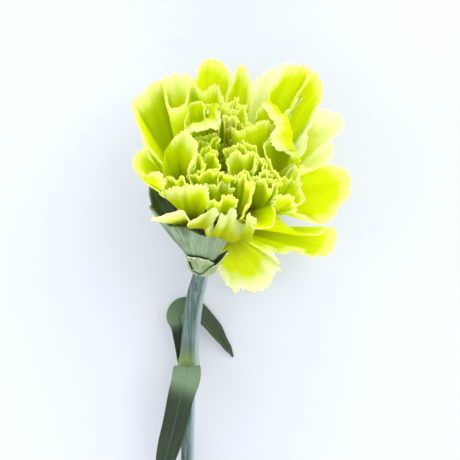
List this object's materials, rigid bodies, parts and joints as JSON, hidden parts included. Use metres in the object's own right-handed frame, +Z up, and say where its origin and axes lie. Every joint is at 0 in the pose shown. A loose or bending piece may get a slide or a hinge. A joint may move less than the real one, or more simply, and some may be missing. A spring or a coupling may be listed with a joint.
{
  "type": "cut carnation",
  "caption": "Cut double carnation lying down, with frilled lime petals, a burst calyx, scale bracts, two leaf pairs and a plain cut stem.",
  "frame": {"origin": "middle of the footprint on the table top, at the lowest point", "axes": "+Y along the stem from its cut end to the bloom, +Z up from the table, +X to the right"},
  "size_m": [0.0891, 0.2222, 0.0567],
  "materials": {
    "petals": "soft satin",
    "stem": "waxy matt",
    "leaves": "waxy matt",
    "calyx": "waxy satin",
    "bracts": "waxy satin"
  },
  "bodies": {
    "root": {"stem": "stem", "leaf_upper_front": "leaves", "leaf_upper_back": "leaves", "leaf_lower_left": "leaves", "leaf_lower_right": "leaves", "bract_inner_front": "bracts", "bract_inner_back": "bracts", "bract_outer_left": "bracts", "bract_outer_right": "bracts", "calyx": "calyx", "bloom": "petals"}
  },
  "joints": []
}
